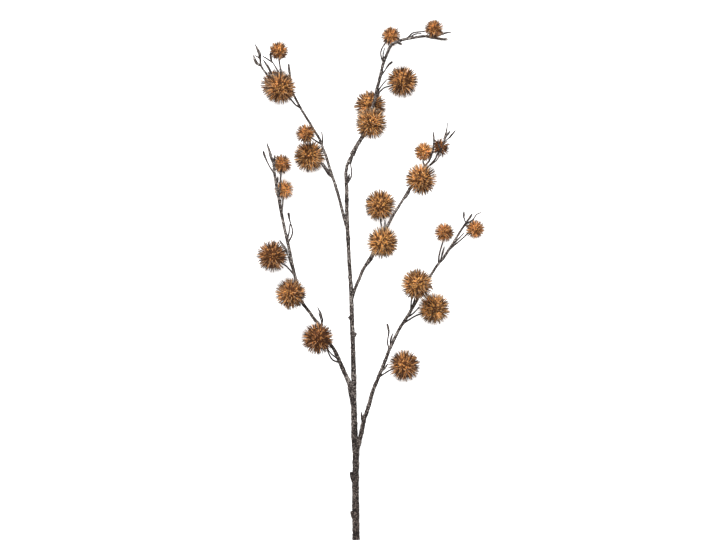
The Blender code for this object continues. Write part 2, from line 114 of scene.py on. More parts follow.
# Shares of the largest wart that a wart may have, and the radius under which stems get smaller ones.
WART_SIZES = (0.5, 1.0)
WARTY_RADIUS = 5 * MM

# Spines are spread evenly by this angle, then scattered by a share of the gap between them.
GOLDEN_ANGLE = math.pi * (3 - math.sqrt(5))
SCATTER = 0.4

# Each burr is spun round this axis by its seed times this angle, so that no two look alike.
SPIN_AXIS = (0.6, 0.5, 0.62)
SPIN_STEP = 1.37

SPINE_SIDES = 5
SPINE_RINGS = 5
# Share of the core's radius at which a spine starts, and how far it leans.
ROOT_SHARE = 0.94
LEAN = 0.15
# Powers that shape a spine's taper and the rounding of its tip, and the tip's smallest share.
TAPER, ROUNDING, TIP_LEAST = 1.8, 8.0, 0.3
# How the spines' widths and lengths vary.
SPINE_WIDTHS = (0.8, 1.15)
LENGTH_SPREAD = 0.08

# The core's faces, its lumps as a share of its radius, and how its tone is mottled.
CORE_SUBDIVISIONS = 4
CORE_LUMPS, CORE_LUMP_SCALE, CORE_LUMP_MIDDLE = 0.12, 260.0, 0.6
MOTTLE_CONTRAST, MOTTLE_SCALE, MOTTLE_MIDDLE = 2.6, 520.0, 0.45

# Each burr has this many seeds of its own: scatter, lean, roll, length, width and tone.
BURR_SEEDS = 10
LEAN_SEED, ROLL_SEED, LENGTH_SEED, WIDTH_SEED, TONE_SEED = 1, 2, 3, 4, 5

# Tones at which the bark has its crack, main, fleck and pale colours.
BARK_STOPS = (0.3, 0.45, 0.6, 0.86)
# Scales of the bark's noises, and how much its patches, flecks and curls weigh in its tone.
PATCH_SCALE, FLECK_SCALE, GRAIN_SCALE = 45.0, 380.0, 1300.0
CURL_SCALE, CURL_ALONG = 1.9, 150.0
PATCH_WEIGHT, FLECK_WEIGHT, CURL_WEIGHT = 0.6, 1.6, 1.1
# Stems slimmer than this have calmer and darker bark.
SLIM_RADIUS = 2.4 * MM
SLIM_CALM, SLIM_DARKENING = 0.82, 0.22
# How far below the origin the foot's colours end, and how fast they turn into the tips' colours.
FOOT_END, TURN_RATE = 0.45, 1.6
# The depth of the bark's relief, its strength, and what curls, flecks and grain add to it.
BARK_RELIEF, BARK_STRENGTH = 0.7 * MM, 0.7
CURL_RELIEF, FLECK_RELIEF, GRAIN_RELIEF = 0.6, 0.7, 0.2

# Shares of a spine's length at which it has its middle and its tip colours.
SPINE_MIDDLE, SPINE_DARK = 0.35, 0.8
SPECKLE_SCALE, BLOTCH_SCALE = 900.0, 70.0
SPINE_RELIEF, SPINE_STRENGTH = 0.3 * MM, 0.3
# The tone that leaves a spine as pale as its burr, and what else makes spines paler.
PLAIN_TONE = 0.6
SPECKLE_WEIGHT, SHADE_WEIGHT, BLOTCH_WEIGHT = 0.3, 0.4, 0.3

# What colours are multiplied by on the darkest and palest spines, and on ruddy and golden burrs.
DARK_TINT = (0.34, 0.29, 0.26, 1.0)
PALE_TINT = (3.5, 3.75, 3.6, 1.0)
RUSTY_TINT = (0.93, 0.88, 0.9, 1.0)
GOLDEN_TINT = (1.02, 1.08, 1.09, 1.0)

# Bark and spines shine less than the shader's usual half.
DULL_SHINE = 0.25

# The ways that the lights shine, and their colour.
KEY_DIRECTION = (0.15, -0.8, -0.7)
FILL_DIRECTION = (0.1, 0.15, -1.0)
WHITE = (1.0, 1.0, 1.0, 1.0)

BurrKind = namedtuple("BurrKind", "slot core tip")
LARGE = BurrKind(slot="burr", core=19.5 * MM, tip=29.0 * MM)
SMALL = BurrKind(slot="small_burr", core=12.3 * MM, tip=17.3 * MM)

# The height of the middle of a burr that rests on the floor.
LOW = 26.0

# A burr's shade runs from nought for a dark ruddy one to one for a pale golden one, and is below
# nought for one in shadow. Its fullness is its share of the usual number of spines.
Burr = namedtuple("Burr", "centre stalk shade fullness", defaults=(0.5, 1.0))
Branch = namedtuple("Branch", "side foot radii main twigs buds large small")
Bud = namedtuple("Bud", "radii points")

# What differs on the small burrs. The other values are the same as on the large ones.
SMALL_BURR_LOOK = {
    "spines": 250, "core_share": 0.92, "reach_share": 1.18, "spine_radius": 0.8 * MM,
    "bend": 0.3, "long_share": 0.6, "shortening": 0.2, "contrast": 1.2,
    "husk_colour": (0.485, 0.208, 0.063), "body_colour": (0.39, 0.182, 0.067),
    "tip_colour": (0.178, 0.12, 0.085),
}

TRUNK = [
    (0, -1.6, 6.0), (-0.1, 9, 6.2), (-0.3, 29, 7.6), (-0.6, 49, 9.5), (-0.3, 69, 12), (0, 84, 14.5),
    (-1.4, 99, 17.5), (-1.8, 119, 21.5), (-2.4, 139, 25.5), (-2.2, 159, 29), (-2.7, 179, 31.5),
    (-3.3, 199, 33), (-4.1, 219, 34), (-4.7, 244, 35), (-6.8, 279, 36), (-8.5, 309, 36),
    (-9.3, 329, 36), (-9.3, 350, 36), (-10.2, 366, 36), (-8.9, 374, 36.5), (-6.8, 379, 37),
    (-3.9, 384, 37.5),
]

TRUNK_STUBS = [
    [(-1.0, 55, 10.5), (-3.6, 60, 11.5), (-5.2, 66.5, 12.5)],
    [(-0.6, 18, 7.5), (-3.2, 22.5, 8), (-4.7, 27.3, 8.5)],
    [(-3.3, 202, 33), (0.0, 206, 34.5)],
    [(-4.1, 219.5, 34), (-7.2, 222.5, 35)],
]

TRUNK_TWIGS = [
    [(-9.6, 354, 36), (-5.2, 361.5, 37), (-4.3, 367.3, 38), (-5.2, 374.8, 39.5), (-3.4, 380.5, 41)],
]

TRUNK_BUDS = [
    Bud(STALKED, [(-9.2, 356.5, 37), (-7.5, 361, 38.5), (-6.5, 365.5, 39)]),
    Bud(SPINDLE, [(-7.2, 374.5, 37.5), (-5.2, 378.6, 40), (-2.6, 384, 40.5)]),
]

TOP = Branch(
    side="top",
    foot=[(-3.9, 384, 37.5), (0.7, 393.2, 39)],
    radii=(3.5, 2.5, 2.2, 2.0),
    main=[
        (4, 398.2, 41), (9, 408, 46), (12, 417, 50.5), (15, 426, 49), (17.5, 435, 48.5),
        (19.8, 443.2, 49.5), (21.1, 450.7, 50.5), (23.2, 458.2, 49.5), (25.3, 467.3, 46),
        (27.3, 475.7, 43), (31.9, 487.3, 40), (34, 491.9, 40), (37.3, 495.7, 40),
        (42.3, 497.3, 40), (47.3, 499.4, 40), (61.5, 501.9, 40), (69, 502.7, 38),
        (75.7, 501.5, 34), (84, 500.2, 32),
    ],
    twigs=[
        [(24.2, 462, 49), (28.2, 467.3, 50), (30.7, 471.5, 50)],
        [(54, 500.6, 40), (58.2, 504.4, 42), (65.7, 505.4, 43)],
        [(27.6, 477.5, 43), (27.1, 484.8, 45), (28.6, 490.7, 45)],
        [(20.2, 445, 50), (25.7, 453.2, 51.5), (30.3, 458.6, 50)],
    ],
    buds=[
        Bud(SPINDLE, [(76.5, 501.6, 33.8), (84, 504.5, 33), (90, 506.2, 33), (95.8, 506.9, 33)]),
        Bud(BLUNT, [(82, 500.4, 32.4), (86, 500, 31.8), (91.8, 499.8, 31)]),
        Bud(CLUB, [(40.5, 496.7, 40), (45.9, 494.6, 41.5)]),
        Bud(CLUB, [(29.5, 469.5, 50), (32.5, 474, 50), (36.5, 477.3, 50)]),
    ],
    large=[
        Burr((15, 415, 83), [(10, 411.5, 48), (11.5, 413, 54)], shade=0.85),
        Burr((14, 433.2, LOW), [(13.2, 421, 52.5), (13.9, 424, 46.5)], shade=0.65),
        Burr((46.5, 457.6, LOW),
             [(19.8, 443.2, 51), (24, 447.3, 50), (28.2, 451.1, 44), (33.2, 452.7, 36)]),
    ],
    small=[
        Burr((35, 503.3, 24),
             [(27.3, 475.7, 43), (24.8, 484, 40), (25.7, 489.8, 36), (29, 495.7, 31)]),
        Burr((77.8, 509.8, 52),
             [(51, 500.2, 40), (56.5, 505.7, 44), (63.2, 506.9, 48), (68, 507.5, 50)], shade=0.4),
    ],
)

LEFT_UPPER = Branch(
    side="left_upper",
    foot=[(-8.6, 311, 36), (-12.7, 324, 37)],
    radii=(2.3, 1.2),
    main=[
        (-14.7, 332.3, 37), (-18.9, 348.2, 37), (-23.5, 362.3, 37), (-27.7, 375.7, 38),
        (-30.2, 384, 39), (-32.7, 389.8, 40), (-34.7, 395.7, 40), (-37.7, 402.3, 40),
        (-42.7, 409.8, 41), (-46, 415.7, 43.5), (-50.2, 422.3, 47), (-54.3, 429, 50),
        (-62.7, 444.8, 54), (-67, 454, 56), (-73, 461, 56), (-80, 464, 56), (-87.7, 463.6, 56),
        (-93.5, 470.7, 56), (-95.2, 474.8, 56), (-95.6, 479.8, 56),
    ],
    twigs=[
        [(-74, 461.6, 56), (-76.8, 465.7, 56), (-82.2, 474.8, 57), (-84.7, 478.2, 57)],
        [(-83, 476, 57), (-89, 480, 57), (-93.2, 482.6, 57)],
        [(-96, 480, 56), (-98.5, 482, 57), (-101, 483.3, 57)],
        [(-33.6, 392.5, 40), (-33.4, 399.5, 42), (-34.3, 407.5, 42)],
    ],
    buds=[
        Bud(LEAF, [(-95.4, 478.5, 56), (-96.4, 485, 56), (-98.4, 489.6, 55.5), (-101, 494.8, 55)]),
        Bud(LEAF, [(-95.4, 472.6, 56), (-99.4, 475.8, 56), (-101.2, 479, 56), (-102.5, 484.4, 56)]),
        Bud(SPINDLE, [(-83.5, 464, 56), (-88, 472, 58), (-92.7, 479, 58)]),
        Bud(SPINDLE, [(-84, 477.2, 57), (-85.2, 481.5, 58), (-85.6, 486.2, 58.5)]),
        Bud(CLUB, [(-65.5, 452, 56), (-65.7, 461.7, 58), (-67.4, 474.6, 60)]),
        Bud(SPINDLE, [(-24.5, 363.5, 37.5), (-29, 369.5, 39.5), (-33, 376, 40.5)]),
    ],
    large=[
        Burr((-75.5, 450, 85), [(-56, 431.5, 50.5), (-60.6, 434.2, 57), (-66.8, 441.5, 66)]),
        Burr((-79.5, 454, LOW),
             [(-62.5, 444.6, 54), (-66.5, 446.6, 49), (-68.8, 447.6, 44)], shade=0.2),
        Burr((-46.5, 382.6, LOW),
             [(-23, 360.8, 37), (-27.7, 364.8, 36), (-31, 369.8, 33.5),
              (-35.2, 375.7, 30.5)], shade=0.9),
    ],
    small=[
        Burr((-77.2, 488.2, 46), [(-72.6, 460.6, 56), (-74.9, 467.5, 54.5), (-76.8, 478.6, 50)]),
        Burr((-50.2, 405.2, 55), [(-34, 394.2, 40), (-39.3, 397.7, 44), (-42.7, 399.8, 48.5)]),
    ],
)

LEFT_LOWER = Branch(
    side="left_lower",
    foot=[(-2.3, 135, 24.7), (-6.8, 155.7, 29)],
    radii=(4.3, 2.4, 2.5, 2.3, 1.8),
    main=[
        (-13.5, 170.7, 32), (-17.7, 180.7, 33.5), (-22.7, 190.7, 35), (-26.8, 196.5, 35.5),
        (-37.2, 214.8, 36), (-41, 219, 36.5), (-46.8, 227.3, 37), (-52.7, 234.8, 37),
        (-56, 240, 37), (-58.5, 249.5, 37), (-60.6, 260.7, 37), (-63.9, 274.8, 36),
        (-66.8, 289.8, 36), (-70.2, 304.8, 35), (-73.5, 319.8, 32.5), (-76.8, 337.3, 29),
        (-78.1, 345.7, 28.5), (-79.7, 354, 29.5), (-81.8, 367.3, 33.5), (-82.2, 375, 36),
    ],
    twigs=[
        [(-15.2, 175, 32.8), (-19.3, 180.7, 37), (-24.3, 184.8, 46), (-27.9, 189.5, 57)],
        [(-67.8, 296.5, 35.8), (-64.3, 303.2, 36), (-63.5, 308.2, 37), (-64.9, 314.3, 37),
         (-66.5, 320, 36)],
        [(-68.5, 299.8, 35.4), (-67, 306.5, 36), (-66, 315, 36.5)],
        [(-81.8, 365.4, 36), (-85.2, 370.5, 36.5), (-88.3, 376, 37)],
        [(-34.3, 210.5, 36), (-34.6, 218, 35), (-37.4, 225.8, 34)],
        [(-61.9, 266, 36.7), (-65.5, 275, 40), (-68.3, 284.5, 41.5)],
    ],
    buds=[
        Bud(STALKED, [(-34, 212.5, 36), (-33.2, 219, 41), (-35.4, 225.7, 44), (-38.6, 232.2, 46)]),
        Bud(SPINDLE, [(-68, 283.5, 41.5), (-70.4, 290, 41), (-76.8, 299.5, 39)]),
        Bud(CLUB, [(-65.9, 317, 36.2), (-66.9, 321.5, 35.5), (-67.6, 326.5, 35)]),
        Bud(STALKED, [(-74.6, 325.5, 31.8), (-76.6, 332, 31), (-75, 339.5, 31.5)]),
        Bud(SPINDLE, [(-82, 373, 36), (-82, 378.5, 36), (-81, 384.5, 36)]),
        Bud(LEAF, [(-82.1, 374, 36), (-84.6, 381, 37), (-86.7, 388.2, 38), (-89.4, 396.8, 38)]),
        Bud(CLUB, [(-87.7, 375, 36.9), (-90.4, 380.6, 37), (-92.9, 387.9, 37)]),
        Bud(STALKED, [(-79.6, 353.5, 30), (-78.6, 358, 33), (-78.2, 362.6, 34)]),
    ],
    large=[
        Burr((-83.9, 282.9, LOW),
             [(-61.2, 263, 37), (-66, 269, 34), (-70.2, 273.2, 31),
              (-73.9, 275.2, 29)], shade=0.15),
        Burr((-64.9, 245.2, 68), [(-57.5, 245.5, 37), (-60, 246.2, 42)]),
        Burr((-38.3, 200.7, 68),
             [(-15.8, 176.5, 33), (-21.8, 178.2, 40), (-25.2, 181.5, 48), (-27.7, 187, 56.5),
              (-29, 191.8, 61)], shade=0.0),
    ],
    small=[
        Burr((-74.3, 375.2, 22),
             [(-77.4, 341, 29), (-76.6, 347, 33), (-75.8, 356, 33.5), (-75.2, 364.5, 28.5)]),
        Burr((-72.1, 349.4, 20),
             [(-74.3, 323.5, 34.5), (-74, 329, 31), (-73.5, 334.8, 26),
              (-73.2, 339.5, 22.5)], shade=0.75),
    ],
)

RIGHT_MID = Branch(
    side="right_mid",
    foot=[(-4.7, 240.5, 35), (-0.2, 252.3, 36)],
    radii=(2.5, 2.4, 2.6, 2.0, 1.5, 1.3, 0.6),
    main=[
        (2.8, 259, 36.5), (6.5, 268.2, 37), (10.3, 274.8, 37), (17.3, 286.5, 36),
        (23.5, 298, 36), (29.8, 309.8, 36), (37.3, 324, 37.5), (43.2, 333.2, 37.5),
        (48.2, 341.5, 36.5), (52.8, 349.4, 36), (62, 360.5, 36.5), (66.5, 368, 38),
        (69.8, 374, 43), (73.2, 378.3, 48), (76.6, 387.3, 51), (77.8, 396.5, 50),
    ],
    twigs=[],
    buds=[
        Bud(THIN, [
            (67.5, 369.5, 39), (75.7, 374.6, 45), (80.2, 378.2, 47), (84.4, 384.6, 49),
            (86.8, 393.2, 50), (88.2, 398.2, 50), (88.4, 403.2, 50),
        ]),
        Bud(THIN, [(69.6, 369.6, 41), (77, 377.8, 48), (82.2, 384.6, 50), (86, 391, 51)]),
        Bud(STALKED, [(77.6, 391, 50), (77.8, 398.5, 49.5), (77.4, 407.2, 49)]),
        Bud(TAILED, [(88.3, 399.5, 50), (90.4, 407.5, 50), (91.6, 416.3, 50)]),
        Bud(STALKED, [(88.6, 398.7, 50.1), (91, 403.8, 51.5), (94.4, 408.2, 52.5)]),
        Bud(STALKED, [(88, 396.6, 50), (93.8, 401.8, 48.8), (99.6, 408.6, 48)]),
        Bud(STALKED, [(85.1, 388.3, 49.2), (83.4, 391.6, 51.8), (81.8, 396.2, 53)]),
        Bud(LEAF, [(10.4, 273.2, 37.5), (15.4, 279.9, 39), (19.6, 286.6, 39)]),
        Bud(SPINDLE, [(47.2, 338.8, 37), (50.4, 342.6, 39), (53.2, 346.9, 39.5), (54.8, 350.2, 39.5)]),
        Bud(SPINDLE, [(27, 304.5, 36), (28.6, 312, 38.5), (29.2, 318.6, 39.5)]),
    ],
    large=[
        Burr((64.7, 359.4, 70), [(60.5, 358.7, 36.4), (62.5, 359, 42)], shade=0.75),
        Burr((26.5, 296.1, 70), [(22, 295.2, 36), (24, 295.6, 42)], shade=1.0),
        Burr((24.2, 333.6, LOW),
             [(26.5, 303.5, 36), (25.8, 311, 35), (24.6, 318.5, 31.5)], shade=0.85),
    ],
    small=[
        Burr((84.4, 391.9, 24),
             [(75, 374.4, 44.5), (78.5, 378.8, 40), (80.5, 382.5, 35)], shade=-0.2, fullness=0.65),
        Burr((67.8, 387.2, 38.5),
             [(69.3, 373, 41), (67.4, 376, 40.6), (66.9, 378.6, 40)], shade=0.9),
    ],
)

RIGHT_LOWER = Branch(
    side="right_lower",
    foot=[(-0.3, 86, 15), (4.9, 104, 19)],
    radii=(3.9, 2.7, 2.1, 1.4),
    main=[
        (8.2, 119.8, 23.5), (11.5, 129, 26), (17.3, 149, 31.5), (20.7, 157.3, 33),
        (24, 165.7, 34.5), (28.2, 175.7, 35.5), (33.2, 189, 36), (38.2, 199.8, 36.5),
        (43.2, 209.8, 37), (49, 219, 37), (54.8, 228.2, 37), (62.3, 241.5, 36), (72.3, 259, 36),
        (76.5, 266.5, 36), (81.5, 274, 36), (86.5, 279.8, 36), (91.5, 287.3, 36),
        (96.5, 294.8, 37), (101.5, 303.2, 38), (105.7, 309.8, 38), (109.8, 315.7, 38),
        (113.2, 320.7, 38),
    ],
    twigs=[
        [(33.4, 189.4, 36), (31.6, 195.5, 38), (31.9, 201, 39.5), (32.9, 206.5, 40)],
        [(108.5, 314, 38), (114, 317.3, 40.5), (117.3, 319.8, 42), (120.3, 324.2, 42),
         (125, 326.5, 41)],
        [(96, 294, 37), (102.3, 300, 41), (107.9, 305.9, 42)],
        [(54.8, 229.5, 37), (55.2, 237, 38.5), (56, 246, 40)],
        [(56, 231.5, 37), (58.2, 238.5, 39), (59.8, 247, 41)],
        [(50, 220.6, 37), (57.3, 225.7, 39), (63.4, 232.3, 41)],
    ],
    buds=[
        Bud(SPINDLE, [(7.2, 114, 21.6), (6, 120.5, 25.5), (5.3, 127, 27)]),
        Bud(CLUB, [(31.8, 200, 39.5), (32.9, 207, 40), (32.3, 211, 40.5), (31, 215.2, 40.5)]),
        Bud(STALKED, [(34, 190.8, 36.2), (34.4, 198, 40), (36.9, 206, 41)]),
        Bud(STALKED, [(23.6, 164.5, 34.4), (28.6, 170.5, 38), (31.9, 175.4, 39)]),
        Bud(SPINDLE, [(71, 256.8, 36), (74.2, 252.9, 38), (77, 249.2, 38)]),
        Bud(STALKED, [(83.6, 276.2, 36), (86.3, 285, 39), (88.4, 292.5, 39)]),
        Bud(SPINDLE, [(112, 318.8, 38), (114, 321.6, 38), (116.4, 325.4, 38)]),
        Bud(STALKED, [(109.6, 316, 38), (107.8, 321.8, 38.5), (108, 328.2, 38.5)]),
    ],
    large=[
        Burr((60.8, 254.8, 68), [(66, 248, 36), (65, 249.8, 42)], shade=0.8),
        Burr((78.2, 230.5, LOW),
             [(46.5, 215, 37), (54, 219.8, 35), (59.8, 223.2, 32),
              (65.3, 225.2, 29.5)], shade=1.0),
        Burr((48.3, 173.2, LOW),
             [(22.4, 161.6, 33.8), (29, 165.7, 33), (33.6, 168.6, 30.5)], shade=0.3),
    ],
    small=[
        Burr((119, 309.8, 34),
             [(92.6, 289, 36.2), (100.7, 295.7, 36), (105.7, 299.8, 35.5), (111, 304.8, 34.5)]),
        Burr((88.4, 306.5, 34),
             [(82.5, 275.2, 36), (83, 282.3, 36), (84.4, 289, 35.5), (87, 297.5, 34.6)]),
    ],
)

BRANCHES = [TOP, LEFT_UPPER, LEFT_LOWER, RIGHT_MID, RIGHT_LOWER]


def operation(name):
    """A method that adds a Math node for a term and what it is combined with."""
    return lambda term, *others: term.combine(name, term, *others)


def reflected(name):
    """The same for a term that stands behind a number, as in 1 - mask."""
    return lambda term, other: term.combine(name, other, term)


class Term:
    """A socket of a node tree that can stand in a sum, and adds the Math nodes that the sum needs."""

    def __init__(self, graph, socket):
        self.graph = graph
        self.socket = socket

    def combine(self, name, *values):
        inputs = dict(enumerate(values))
        return self.graph.add("ShaderNodeMath", {"operation": name}, inputs)

    __add__, __radd__ = operation("ADD"), reflected("ADD")
    __sub__, __rsub__ = operation("SUBTRACT"), reflected("SUBTRACT")
    __mul__, __rmul__ = operation("MULTIPLY"), reflected("MULTIPLY")
    __truediv__, __rtruediv__ = operation("DIVIDE"), reflected("DIVIDE")
    __pow__ = operation("POWER")
    least, most = operation("MINIMUM"), operation("MAXIMUM")
    above = operation("GREATER_THAN")
    cosine, sine = operation("COSINE"), operation("SINE")


class Graph:
    """A shader or geometry tree, with one method that adds any node."""

    def __init__(self, tree):
        self.tree = tree

    def add(self, kind, settings=None, inputs=None, output=0):
        """Adds a node, sets it, feeds its inputs and gives back one of its outputs."""
        node = self.tree.nodes.new(kind)
        for name, value in (settings or {}).items():
            if name == "stops":
                set_stops(node.color_ramp, value)
            else:
                setattr(node, name, value)
        for key, value in (inputs or {}).items():
            self.feed(socket_of(node.inputs, key), value)
        return Term(self, socket_of(node.outputs, output))

    def feed(self, socket, value):
        if isinstance(value, Term):
            self.tree.links.new(value.socket, socket)
        else:
            socket.default_value = value

    def mix(self, share, low, high):
        """A colour between two others."""
        inputs = {"Factor_Float": share, "A_Color": low, "B_Color": high}
        return self.add("ShaderNodeMix", {"data_type": "RGBA"}, inputs, "Result_Color")

    def tinted(self, colour, tint):
        """A colour times another."""
        settings = {"data_type": "RGBA", "blend_type": "MULTIPLY", "clamp_result": False}
        inputs = {"Factor_Float": 1.0, "A_Color": colour, "B_Color": tint}
        return self.add("ShaderNodeMix", settings, inputs, "Result_Color")

    def ramp(self, share, stops):
        return self.add("ShaderNodeValToRGB", {"stops": stops}, {"Fac": share}, "Color")

    def noise(self, place, scale, detail=3.0, roughness=0.55):
        inputs = {"Vector": place, "Scale": scale, "Detail": detail, "Roughness": roughness}
        return self.add("ShaderNodeTexNoise", None, inputs, "Fac")

    def vector(self, x, y, z):
        return self.add("ShaderNodeCombineXYZ", None, {"X": x, "Y": y, "Z": z})

    def parts(self, vector):
        """A vector's three numbers."""
        first = self.add("ShaderNodeSeparateXYZ", None, {"Vector": vector})
        return [Term(self, socket) for socket in first.socket.node.outputs]

    def stretch(self, vector, length):
        """A vector times a number."""
        inputs = {0: vector, "Scale": length}
        return self.add("ShaderNodeVectorMath", {"operation": "SCALE"}, inputs)

    def sum(self, first, second):
        """Two vectors added."""
        return self.add("ShaderNodeVectorMath", {"operation": "ADD"}, {0: first, 1: second})

    def random(self, low, high, seed):
        """A number drawn anew for each element."""
        inputs = {"Min_001": low, "Max_001": high, "Seed": seed}
        return self.add("FunctionNodeRandomValue", {"data_type": "FLOAT"}, inputs, "Value_001")

    def random_vector(self, seed):
        """A vector drawn anew for each element, with numbers between minus one and one."""
        settings = {"data_type": "FLOAT_VECTOR"}
        inputs = {"Min": (-1.0, -1.0, -1.0), "Max": (1.0, 1.0, 1.0), "Seed": seed}
        return self.add("FunctionNodeRandomValue", settings, inputs, "Value")

    def store(self, geometry, kind, name, value, domain="POINT"):
        """Geometry that carries a value under a name."""
        settings = {"data_type": kind, "domain": domain}
        inputs = {"Geometry": geometry, "Name": name, "Value": value}
        return self.add("GeometryNodeStoreNamedAttribute", settings, inputs)

    def read(self, kind, name):
        """The value that the geometry carries under a name."""
        return self.add("GeometryNodeInputNamedAttribute", {"data_type": kind}, {"Name": name})

    def moved(self, geometry, change, value):
        """Geometry with its points moved by an Offset or to a Position."""
        return self.add("GeometryNodeSetPosition", None, {"Geometry": geometry, change: value})

    def circle(self, sides):
        """A round profile of unit radius."""
        inputs = {"Resolution": sides, "Radius": 1.0}
        return self.add("GeometryNodeCurvePrimitiveCircle", None, inputs)

    def tube(self, rail, profile, width):
        """A profile swept along a curve, with closed ends."""
        inputs = {"Curve": rail, "Profile Curve": profile, "Scale": width, "Fill Caps": True}
        return self.add("GeometryNodeCurveToMesh", None, inputs)

    def joined(self, *geometries):
        """Several geometries as one."""
        whole = self.add("GeometryNodeJoinGeometry")
        for geometry in geometries:
            self.feed(whole.socket.node.inputs[0], geometry)
        return whole


def socket_of(sockets, key):
    """A socket by its number, its identifier or its name."""
    if isinstance(key, int):
        return sockets[key]
    for socket in sockets:
        if socket.identifier == key:
            return socket
    return next(socket for socket in sockets if socket.name == key and socket.enabled)


def set_stops(ramp, stops):
    while len(ramp.elements) > 1:
        ramp.elements.remove(ramp.elements[-1])
    ramp.elements[0].position = stops[0][0]
    ramp.elements[0].color = (*stops[0][1], 1.0)
    for place, colour in stops[1:]:
        ramp.elements.new(place).color = (*colour, 1.0)


CACHE = {}


def cached(name, make):
    """What make() gives, made once and kept for the pieces that share it."""
    if name not in CACHE:
        CACHE[name] = make()
    return CACHE[name]


def new_tree(name, inputs):
    """A geometry tree with named inputs. It gives back the graph, the inputs and the output node."""
    tree = bpy.data.node_groups.new(name, "GeometryNodeTree")
    tree.interface.new_socket("Geometry", in_out="OUTPUT", socket_type="NodeSocketGeometry")
    tree.interface.new_socket("Geometry", in_out="INPUT", socket_type="NodeSocketGeometry")
    for label, kind in inputs.items():
        tree.interface.new_socket(label, in_out="INPUT", socket_type="NodeSocket" + kind)
    graph = Graph(tree)
    source = tree.nodes.new("NodeGroupInput")
    values = {socket.name: Term(graph, socket) for socket in source.outputs if socket.name}
    return graph, values, tree.nodes.new("NodeGroupOutput")


def finish_tree(graph, geometry, value, output):
    """Ends a tree: flat where it lies on the floor, plain, smooth and with its material."""
    x, y, z = graph.parts(graph.add("GeometryNodeInputPosition"))
    pressed = graph.moved(geometry, "Position", graph.vector(x, y, z.most(value["Floor"])))
    plain = graph.add("GeometryNodeRealizeInstances", None, {0: pressed})
    smooth = graph.add("GeometryNodeSetShadeSmooth", None, {"Geometry": plain})
    done = graph.add(
        "GeometryNodeSetMaterial", None, {"Geometry": smooth, "Material": value["Material"]}
    )
    graph.feed(output.inputs[0], done)
    return graph.tree


def grow(name, seed_object, tree, values):
    """Runs a geometry tree on an object and puts the plain mesh that it makes in its place."""
    modifier = seed_object.modifiers.new("Shape", "NODES")
    modifier.node_group = tree
    for item in tree.interface.items_tree:
        if item.in_out == "INPUT" and item.name in values:
            modifier[item.identifier] = values[item.name]
    bpy.context.view_layer.update()
    graph = bpy.context.evaluated_depsgraph_get()
    mesh = bpy.data.meshes.new_from_object(seed_object.evaluated_get(graph), depsgraph=graph)
    mesh.name = name
    piece = bpy.data.objects.new(name, mesh)
    bpy.context.scene.collection.objects.link(piece)
    bpy.data.objects.remove(seed_object, do_unlink=True)
    return piece


def stand_for(piece, node):
    """Lets a finished piece replace a node of the branch."""
    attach(piece, "root")
    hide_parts(node)


def stem_tree():
    """Sweeps every strand of a curve into a round stem with a rough, lumpy skin and small warts."""
    graph, value, output = new_tree("Stem", {
        "Sides": "Int", "Step": "Float", "Lumps": "Float", "Lump Size": "Float",
        "Ridges": "Float", "Warts": "Float", "Wart Size": "Float", "Floor": "Float",
        "Seed": "Int", "Material": "Material",
    })
    smooth = graph.add(
        "GeometryNodeCurveSplineType", {"spline_type": "CATMULL_ROM"}, {"Curve": value["Geometry"]}
    )
    rail = graph.add(
        "GeometryNodeResampleCurve", {"mode": "LENGTH"}, {"Curve": smooth, "Length": value["Step"]}
    )
    radius = graph.add("GeometryNodeInputRadius")
    place = graph.add("GeometryNodeInputPosition")
    walked = graph.add("GeometryNodeSplineParameter", output="Length")
    rail = graph.store(rail, "FLOAT", "run", walked)
    rail = graph.store(rail, "FLOAT", "girth", radius)
    profile = graph.store(graph.circle(value["Sides"]), "FLOAT_VECTOR", "round", place)
    girth = graph.read("FLOAT", "girth")

    shift = graph.vector(0.0, 0.0, value["Seed"] * SEED_SHIFT)
    lump = graph.noise(graph.sum(place, shift), value["Lump Size"], 2.0)
    around = graph.stretch(graph.read("FLOAT_VECTOR", "round"), girth * RIDGE_ROUND)
    along = graph.vector(0.0, 0.0, graph.read("FLOAT", "run") * RIDGE_ALONG)
    ridge = graph.noise(graph.sum(graph.sum(around, along), shift), 1.0, 2.0)
    height = (lump - 0.5) * girth * value["Lumps"] + (ridge - 0.5) * girth * value["Ridges"]
    outward = graph.add("GeometryNodeInputNormal")
    skin = graph.moved(
        graph.tube(rail, profile, radius), "Offset", graph.stretch(outward, height)
    )

    spots = graph.add(
        "GeometryNodeDistributePointsOnFaces", None,
        {"Mesh": skin, "Density": value["Warts"], "Seed": value["Seed"]}, "Points",
    )
    wart = graph.add("GeometryNodeMeshIcoSphere", None, {"Radius": 1.0, "Subdivisions": 1})
    size = graph.random(*WART_SIZES, value["Seed"]) * value["Wart Size"]
    size = size * (girth / WARTY_RADIUS).least(1.0)
    warts = graph.add(
        "GeometryNodeInstanceOnPoints", None,
        {"Points": spots, "Instance": wart, "Scale": graph.vector(size, size, size)},
    )
    warts = graph.add("GeometryNodeRealizeInstances", None, {0: warts})
    return finish_tree(graph, graph.joined(warts, skin), value, output)


